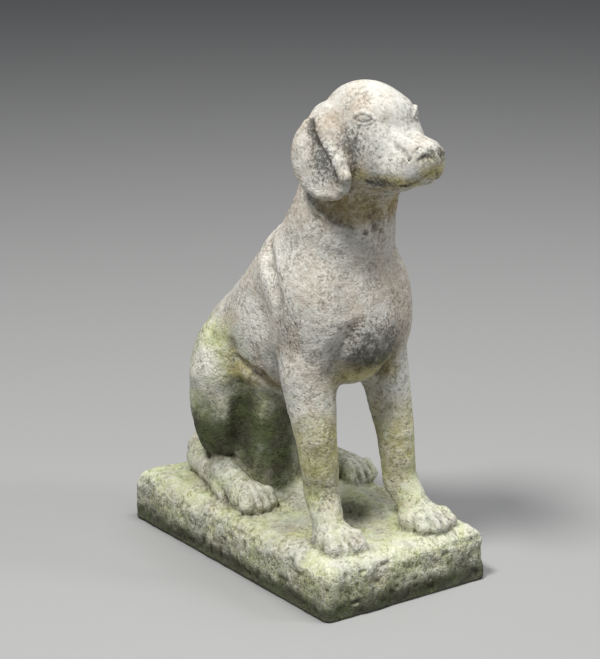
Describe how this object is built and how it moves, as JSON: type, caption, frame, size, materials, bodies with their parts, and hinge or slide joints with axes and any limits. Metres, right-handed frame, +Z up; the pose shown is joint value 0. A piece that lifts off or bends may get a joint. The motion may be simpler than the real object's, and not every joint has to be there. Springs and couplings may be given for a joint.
{
  "type": "stone dog statue",
  "caption": "Seated hound with hanging ears on a rough rectangular plinth, cast in one piece in weathered reconstituted stone for a garden.",
  "frame": {"origin": "middle of the plinth's underside, on the ground", "axes": "+Z up, the dog looks along -Y, its left side is at +X"},
  "size_m": [0.288, 0.5465, 0.727],
  "materials": {
    "weathered_stone": "coarse reconstituted stone, weathered, with lichen and green algae"
  },
  "bodies": {
    "root": {"dog_statue": "weathered_stone"}
  },
  "joints": []
}
